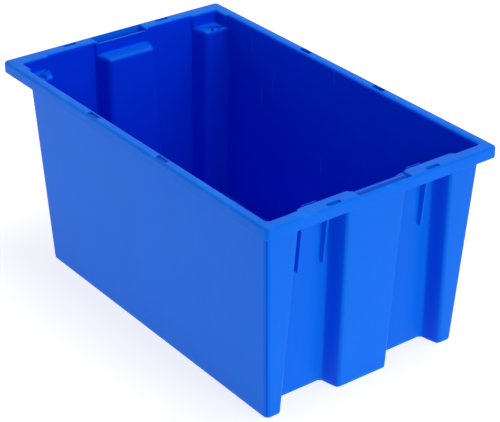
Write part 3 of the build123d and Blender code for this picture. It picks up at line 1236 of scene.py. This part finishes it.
@dataclass
class Workshop:
    """Finishes pieces and keeps what they share.

    Attributes:
        blue: The material of the moulding.
        made: The names of the pieces, in the order they were made.
    """

    blue: bpy.types.Material
    made: List[str] = field(default_factory=list)

    def finish(self, bm: BMesh, name: str, nodes: Sequence[str]) -> bpy.types.Object:
        """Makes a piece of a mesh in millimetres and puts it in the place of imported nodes.

        Args:
            bm: The closed mesh, which is freed.
            name: The piece's name.
            nodes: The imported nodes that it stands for.

        Returns:
            The piece.
        """
        bmesh.ops.remove_doubles(bm, verts=bm.verts, dist=1e-3)
        bmesh.ops.dissolve_degenerate(bm, edges=bm.edges, dist=1e-3)
        bmesh.ops.recalc_face_normals(bm, faces=bm.faces)
        bmesh.ops.scale(bm, vec=(MM, MM, MM), verts=bm.verts)
        for face in bm.faces:
            face.smooth = True
        for edge in bm.edges:
            edge.smooth = len(edge.link_faces) == 2 and edge.calc_face_angle(0) < SHARP_ANGLE
        open_edges = sum(len(edge.link_faces) != 2 for edge in bm.edges)
        settings = {"keep_sharp": True, "mode": "FACE_AREA", "weight": 80}
        mesh = evaluated(bm, [("WEIGHTED_NORMAL", settings)])
        mesh.name = name
        mesh.materials.clear()
        mesh.materials.append(self.blue)
        piece = placed(name, mesh)
        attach(piece, "root")
        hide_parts(*nodes)
        self.made.append(name)
        log.info("%s: %d faces, %d open edges", name, len(mesh.polygons), open_edges)
        return piece


@dataclass
class Shell:
    """The moulding's walls, floor, ledges and rim, divided into their areas.

    Attributes:
        moulding: The sizes of the moulding.
        openings: The sizes of the slots and the hand holds.
        split_height: Where the walls part from the rim.
        walls_x: Half the length that holds the walls but not the skirt.
        walls_y: Half the width that does.
        floor_height: Where the floor parts from the walls.
        end_cut: Where the long walls part from the ends.
        b_centre_cut: Where end B's centre parts from its channels.
        b_corner_cut: Where end B's channels part from its corners.
        a_centre_cut: Where end A's centre channel parts from the raised panels.
        a_corner_cut: Where end A's raised panels part from the corner recesses.
        rim_x: Where the rim's sides part from its corners, along the tote.
        rim_y: Where the rim's ends part from its corners, across the tote.
    """

    moulding: Moulding = field(default_factory=Moulding)
    openings: Openings = field(default_factory=Openings)
    split_height: float = 217.5
    walls_x: float = 221.5
    walls_y: float = 134.5
    floor_height: float = 7.0
    end_cut: float = 172.0
    b_centre_cut: float = 24.0
    b_corner_cut: float = 107.5
    a_centre_cut: float = 43.5
    a_corner_cut: float = 81.0
    rim_x: float = 204.6
    rim_y: float = 115.7

    def solid(self) -> BMesh:
        """The moulding with its thickness and its openings.

        Returns:
            The closed moulding as a new mesh.
        """
        wall = self.moulding.wall
        thicken = {
            "thickness": wall,
            "offset": -1.0,
            "use_even_offset": True,
            "use_quality_normals": True,
        }
        shell = evaluated(self.moulding.sheet(), [("SOLIDIFY", thicken)])
        cutter_mesh = stored(self.openings.cutters(self.moulding), "cutters")
        cutter = placed("cutters", cutter_mesh)
        bm = load_into(bmesh.new(), shell)
        underside = min(bm.faces, key=lambda face: face.calc_center_median().z)
        soften(bm, underside.edges, self.moulding.base_round, clamp=False)
        difference = {"operation": "DIFFERENCE", "solver": "EXACT", "object": cutter}
        cut = evaluated(bm, [("BOOLEAN", difference)])
        bpy.data.objects.remove(cutter)
        bpy.data.meshes.remove(cutter_mesh)
        bm = load_into(bmesh.new(), cut)
        open_edges = sum(len(edge.link_faces) != 2 for edge in bm.edges)
        log.info("moulding: %d faces, %d open edges", len(bm.faces), open_edges)
        return bm

    def parted(self, bm: BMesh) -> Tuple[BMesh, BMesh]:
        """Parts the rim and its skirt from the walls.

        Args:
            bm: The moulding, which is freed.

        Returns:
            The walls with the floor, and the rim.
        """
        def in_walls(face: bmesh.types.BMFace) -> bool:
            """Whether a face lies inside the skirt."""
            return all(
                abs(vert.co.x) < self.walls_x and abs(vert.co.y) < self.walls_y
                for vert in face.verts
            )

        faces = [face for face in bm.faces if in_walls(face)]
        edges = {edge for face in faces for edge in face.edges}
        verts = {vert for face in faces for vert in face.verts}
        cut = bmesh.ops.bisect_plane(
            bm,
            geom=faces + list(edges) + list(verts),
            dist=PLANE_MERGE,
            plane_co=(0, 0, self.split_height),
            plane_no=(0, 0, 1),
        )["geom_cut"]
        bmesh.ops.split_edges(bm, edges=of_kind(cut, BMEdge))
        seed = max(bm.verts, key=lambda vert: vert.co.z)
        reached = {seed}
        front = [seed]
        while front:
            vert = front.pop()
            for edge in vert.link_edges:
                other = edge.other_vert(vert)
                if other not in reached:
                    reached.add(other)
                    front.append(other)
        bm.verts.index_update()
        rim_indices = {vert.index for vert in reached}
        walls = bm.copy()
        walls.verts.ensure_lookup_table()
        rim_in_walls = [walls.verts[index] for index in rim_indices]
        bmesh.ops.delete(walls, geom=rim_in_walls, context="VERTS")
        rim = bm
        bmesh.ops.delete(rim, geom=[vert for vert in rim.verts if vert not in reached],
                         context="VERTS")
        for part in (walls, rim):
            close_cut(part, ring=True)
        return walls, rim

    def area(self, source: BMesh, low: Point, high: Point) -> BMesh:
        """The part of a closed mesh inside a box.

        Args:
            source: The mesh, which stays as it is.
            low: The lowest corner of the box.
            high: The highest corner of the box.

        Returns:
            The area as a new closed mesh.
        """
        bm = source.copy()
        ring = all(math.isinf(limit) for limit in (low[0], low[1], high[0], high[1]))
        for axis in range(3):
            for limit, sign in ((low[axis], -1), (high[axis], 1)):
                if math.isinf(limit):
                    continue
                point, normal = [0.0, 0.0, 0.0], [0.0, 0.0, 0.0]
                point[axis], normal[axis] = limit, float(sign)
                cut_away(bm, point, normal, ring)
        return bm

    def wall_areas(self) -> List[Area]:
        """The areas of the walls above the floor.

        Returns:
            The name, the range along the tote, the range across it and the nodes of each area.
        """
        inf = math.inf
        b_x, a_x = (self.end_cut, inf), (-inf, -self.end_cut)
        areas = [
            ("end_b_centre_face", b_x, (-self.b_centre_cut, self.b_centre_cut),
             ["end_b_centre_panel"]),
            ("end_a_centre_rib", a_x, (-self.a_centre_cut, self.a_centre_cut),
             ["end_a_centre_channel_back", "end_a_centre_ledge", "end_a_centre_ledge_wall"]),
        ]
        for side in Side:
            tag = side.name.lower()

            def span(low: float, high: float) -> Span:
                """A range across the tote, on this side."""
                return (low, high) if side is Side.FAR else (-high, -low)

            areas += [
                (f"long_side_{tag}", (-self.end_cut, self.end_cut), span(0, inf),
                 [f"long_wall_{tag}"]),
                (f"end_b_rib_{tag}", b_x, span(self.b_centre_cut, self.b_corner_cut),
                 [f"end_b_channel_back_{tag}", f"end_b_ledge_{tag}", f"end_b_ledge_wall_{tag}"]),
                (f"end_b_corner_face_{tag}", b_x, span(self.b_corner_cut, inf),
                 [f"end_b_corner_panel_{tag}"]),
                (f"end_a_face_{tag}", a_x, span(self.a_centre_cut, self.a_corner_cut),
                 [f"end_a_raised_panel_{tag}"]),
                (f"end_a_corner_rib_{tag}", a_x, span(self.a_corner_cut, inf),
                 [f"end_a_corner_recess_{tag}", f"end_a_corner_ledge_{tag}",
                  f"end_a_corner_ledge_wall_{tag}"]),
            ]
        return areas

    def rim_areas(self) -> List[Area]:
        """The areas of the rim with its skirt.

        Returns:
            The name, the range along the tote, the range across it and the nodes of each area.
        """
        inf = math.inf
        areas = []
        for end in End:
            tag = end.name.lower()
            along = (self.rim_x, inf) if end is End.B else (-inf, -self.rim_x)
            areas.append(
                (f"rim_over_end_{tag}", along, (-self.rim_y, self.rim_y),
                 [f"rim_end_{tag}_near", f"rim_end_{tag}_far", f"skirt_end_{tag}"])
            )
            for side in Side:
                place = side.name.lower()
                across = (self.rim_y, inf) if side is Side.FAR else (-inf, -self.rim_y)
                areas.append(
                    (f"rim_turn_{tag}_{place}", along, across, [f"rim_corner_{tag}_{place}"])
                )
        for side in Side:
            place = side.name.lower()
            across = (0.0, inf) if side is Side.FAR else (-inf, 0.0)
            areas.append(
                (f"rim_long_{place}", (-self.rim_x, self.rim_x), across,
                 [f"rim_side_{place}", f"skirt_side_{place}"])
            )
        return areas

    def build(self, workshop: Workshop) -> None:
        """Builds the moulding and finishes its areas.

        Args:
            workshop: Where the pieces are finished.
        """
        walls, rim = self.parted(self.solid())
        inf = math.inf
        floor = self.area(walls, (-inf, -inf, -inf), (inf, inf, self.floor_height))
        workshop.finish(floor, "tote_floor", ["floor_panel"])
        divided = ((walls, self.floor_height, self.wall_areas()), (rim, -inf, self.rim_areas()))
        for source, bottom, areas in divided:
            for name, along, across, nodes in areas:
                low = (along[0], across[0], bottom)
                workshop.finish(self.area(source, low, (along[1], across[1], inf)), name, nodes)
        walls.free()
        rim.free()


@dataclass
class Gussets:
    """The fins on the outside, under the ledges.

    Attributes:
        foot_depth: How far a fin stands out at its foot.
        root_sink: How far its root reaches into the wall.
        tip_share: Thickness of its outer edge, as a share of its root.
        edge_round: Rounding of its edges.
        nodes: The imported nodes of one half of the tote, without the half's name.
    """

    foot_depth: float = 4.5
    root_sink: float = 0.6
    tip_share: float = 0.82
    edge_round: float = 0.45
    nodes: Tuple[str, ...] = ("end_b_fin_inner", "end_b_fin_outer",
                              "end_a_fin_centre", "end_a_fin_corner")

    def fin(self, node: str, moulding: Moulding) -> BMesh:
        """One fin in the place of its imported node.

        Args:
            node: The node.
            moulding: The moulding that it stands on.

        Returns:
            The fin as a new mesh.
        """
        low, high = (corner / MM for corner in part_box(node))
        end = End.B if high.x > 0 else End.A
        bm = box_mesh(low, high)
        middle = (low.y + high.y) / 2
        for vert in bm.verts:
            at_top = vert.co.z > (low.z + high.z) / 2
            outer = (vert.co.x - (low.x + high.x) / 2) * end.value > 0
            wall = moulding.face(vert.co.z) - moulding.channel_depth
            if not outer:
                vert.co.x = end.value * (wall - self.root_sink)
            elif not at_top:
                vert.co.x = end.value * (wall + self.foot_depth)
            if outer:
                vert.co.y = middle + (vert.co.y - middle) * self.tip_share
            if at_top:
                vert.co.z += self.root_sink
        outer_edges = [
            edge for edge in bm.edges
            if all((vert.co.x - end.value * (moulding.face(vert.co.z) - moulding.channel_depth))
                   * end.value > self.root_sink for vert in edge.verts)
        ]
        soften(bm, outer_edges, self.edge_round)
        return bm

    def build(self, workshop: Workshop, moulding: Moulding) -> None:
        """Builds the eight fins.

        Args:
            workshop: Where the pieces are finished.
            moulding: The moulding that they stand on.
        """
        for stem in self.nodes:
            for side in Side:
                node = f"{stem}_{side.name.lower()}"
                workshop.finish(self.fin(node, moulding), f"gusset_{node}", [node])


@dataclass
class StackingMarks:
    """The bars and the half rings on the ledges, which hold a tote that stands on this one.

    Attributes:
        bar_sink: How far a bar reaches down into the rounded front of its ledge.
        ring_sink: How far a half ring does.
        bar_round: Rounding of a bar's edges.
        bar_steps: How many faces go round such an edge.
        ring_radius: Outer radius of a half ring.
        ring_thickness: Thickness of a half ring's wall.
        ring_steps: How many faces go round a half ring.
        ring_round: Rounding of a half ring's edges.
    """

    bar_sink: float = 4.5
    ring_sink: float = 2.0
    bar_round: float = 0.8
    bar_steps: int = 4
    ring_radius: float = 5.5
    ring_thickness: float = 2.0
    ring_steps: int = 20
    ring_round: float = 0.55

    def bar(self, node: str, ledge_top: float) -> BMesh:
        """A bar on end B's ledge.

        Args:
            node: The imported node.
            ledge_top: Height of the ledge.

        Returns:
            The bar as a new mesh.
        """
        low, high = (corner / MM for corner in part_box(node))
        bm = box_mesh((low.x, low.y, ledge_top - self.bar_sink), high)
        upper = high.z - AT_TOP
        top = [edge for edge in bm.edges if max(vert.co.z for vert in edge.verts) > upper]
        soften(bm, top, self.bar_round, self.bar_steps)
        return bm

    def half_ring(self, node: str, ledge_top: float) -> BMesh:
        """A half ring on end A's ledge.

        Args:
            node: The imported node.
            ledge_top: Height of the ledge.

        Returns:
            The half ring as a new mesh.
        """
        low, high = (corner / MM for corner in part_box(node))
        centre = Vector((high.x, (low.y + high.y) / 2, 0))
        bm = bmesh.new()
        bmesh.ops.create_grid(bm, x_segments=1, y_segments=1, size=0.5)
        tall = high.z - ledge_top + self.ring_sink
        bmesh.ops.scale(bm, vec=(1, self.ring_thickness, tall), verts=bm.verts)
        for vert in bm.verts:
            vert.co = Vector((0, vert.co.y, vert.co.x * tall))
        offset = (0, self.ring_radius - self.ring_thickness / 2, high.z - tall / 2)
        bmesh.ops.translate(bm, vec=centre + Vector(offset), verts=bm.verts)
        profile = bm.verts[:] + bm.edges[:] + bm.faces[:]
        bmesh.ops.spin(bm, geom=profile, cent=centre, axis=(0, 0, 1), angle=math.pi,
                       steps=self.ring_steps, use_merge=False)
        bmesh.ops.remove_doubles(bm, verts=bm.verts, dist=PLANE_MERGE)
        bmesh.ops.recalc_face_normals(bm, faces=bm.faces)
        top = [edge for edge in bm.edges
               if min(vert.co.z for vert in edge.verts) > high.z - AT_TOP
               and len(edge.link_faces) == 2
               and edge.calc_face_angle(0) > SHARP_ANGLE]
        soften(bm, top, self.ring_round)
        return bm

    def build(self, workshop: Workshop, ledge_top: float) -> None:
        """Builds the bars and the half rings.

        Args:
            workshop: Where the pieces are finished.
            ledge_top: Height of the ledges.
        """
        for side in Side:
            tag = side.name.lower()
            stop, horn = f"end_b_stop_{tag}", f"end_a_horn_{tag}"
            workshop.finish(self.bar(stop, ledge_top), f"stacking_bar_{tag}", [stop])
            workshop.finish(self.half_ring(horn, ledge_top), f"stacking_ring_{tag}", [horn])


# ---------------------------------------------------------------------------------------------
# Studio


@dataclass(frozen=True)
class Lamp:
    """A soft square lamp.

    Attributes:
        name: Its name.
        place: Where it hangs, in metres.
        size: Its width, in metres.
        power: Its power, in watts.
    """

    name: str
    place: Point
    size: float
    power: float


@dataclass
class Studio:
    """The floor, the light and the camera.

    Attributes:
        azimuth: Where the camera stands, in degrees round the tote.
        elevation: How high it stands, in degrees.
        roll: How far it is tipped, in degrees.
        distance: From the camera to what it looks at, in metres.
        target: What it looks at, in metres.
        lens: Its focal length for a frame 36 mm wide.
        floor_size: The width of the floor, in metres.
        daylight: The strength of the light from all round.
        lamps: The lamps.
        floor: The finish of the floor.
    """

    azimuth: float = 52.7
    elevation: float = 28.66
    roll: float = 0.34
    distance: float = 1.7893
    target: Point = (0.02561, -0.00391, 0.110)
    lens: float = 125.5
    floor_size: float = 30.0
    daylight: float = 0.32
    lamps: Tuple[Lamp, ...] = (
        Lamp("overhead", (0.3, 0.5, 2.6), 1.4, 37.0),
        Lamp("end_light", (2.5, 0.5, 0.9), 1.2, 25.0),
        Lamp("side_fill", (-1.9, -2.2, 0.8), 1.4, 15.0),
        Lamp("back_light", (-2.2, 1.8, 1.5), 2.0, 6.0),
    )
    floor: PaleFloor = field(default_factory=PaleFloor)

    def build_floor(self) -> None:
        """Lays the pale floor under the tote."""
        bm = bmesh.new()
        bmesh.ops.create_grid(bm, x_segments=8, y_segments=8, size=self.floor_size / 2)
        mesh = stored(bm, "studio_floor")
        mesh.materials.append(self.floor.material())
        placed("studio_floor", mesh)

    def hang(self, lamp: Lamp) -> None:
        """Hangs a lamp that looks at the tote."""
        light = bpy.data.lights.new(lamp.name, "AREA")
        light.size = lamp.size
        light.energy = lamp.power
        aim = Vector(self.target) - Vector(lamp.place)
        turned = aim.to_track_quat("-Z", "Y").to_matrix().to_4x4()
        placed(lamp.name, light).matrix_world = Matrix.Translation(lamp.place) @ turned

    def build_light(self) -> None:
        """Sets up the light from all round and the lamps."""
        world = bpy.data.worlds.new("studio")
        bpy.context.scene.world = world
        world.use_nodes = True
        background = world.node_tree.nodes["Background"]
        background.inputs["Color"].default_value = (1, 1, 1, 1)
        background.inputs["Strength"].default_value = self.daylight
        for lamp in self.lamps:
            self.hang(lamp)

    def build_camera(self) -> None:
        """Stands the camera in its place."""
        angles = (self.azimuth, self.elevation, self.roll)
        turn, rise, tip = (math.radians(angle) for angle in angles)
        back = Vector((math.sin(turn) * math.cos(rise), -math.cos(turn) * math.cos(rise),
                       math.sin(rise)))
        right = Vector((math.cos(turn), math.sin(turn), 0))
        up = back.cross(right)
        x_axis = math.cos(tip) * right + math.sin(tip) * up
        y_axis = math.cos(tip) * up - math.sin(tip) * right
        data = bpy.data.cameras.new("camera")
        data.lens = self.lens
        data.sensor_width = 36.0
        data.clip_end = 100.0
        camera = placed("camera", data)
        turned = Matrix((x_axis, y_axis, back)).transposed().to_4x4()
        place = Vector(self.target) + back * self.distance
        camera.matrix_world = Matrix.Translation(place) @ turned
        bpy.context.scene.camera = camera

    def build(self) -> None:
        """Builds the studio."""
        self.build_floor()
        self.build_light()
        self.build_camera()
        bpy.context.scene.view_settings.view_transform = "Standard"


def plain(box: Sequence[Any]) -> List[List[float]]:
    """A box's corners as plain lists.

    Args:
        box: Its lowest and highest corners.

    Returns:
        The same numbers.
    """
    return [[float(value) for value in corner] for corner in box]


def main() -> None:
    """Builds the tote and the studio."""
    logging.basicConfig(level=logging.INFO, format="%(name)s: %(message)s")
    shell = Shell()
    blue = MouldedBlue().material(shell.moulding)
    workshop = Workshop(blue)
    shell.build(workshop)
    Gussets().build(workshop, shell.moulding)
    StackingMarks().build(workshop, shell.moulding.ledge_top)
    Studio().build()
    log.info("%d pieces", len(workshop.made))


if __name__ == "__main__":
    main()
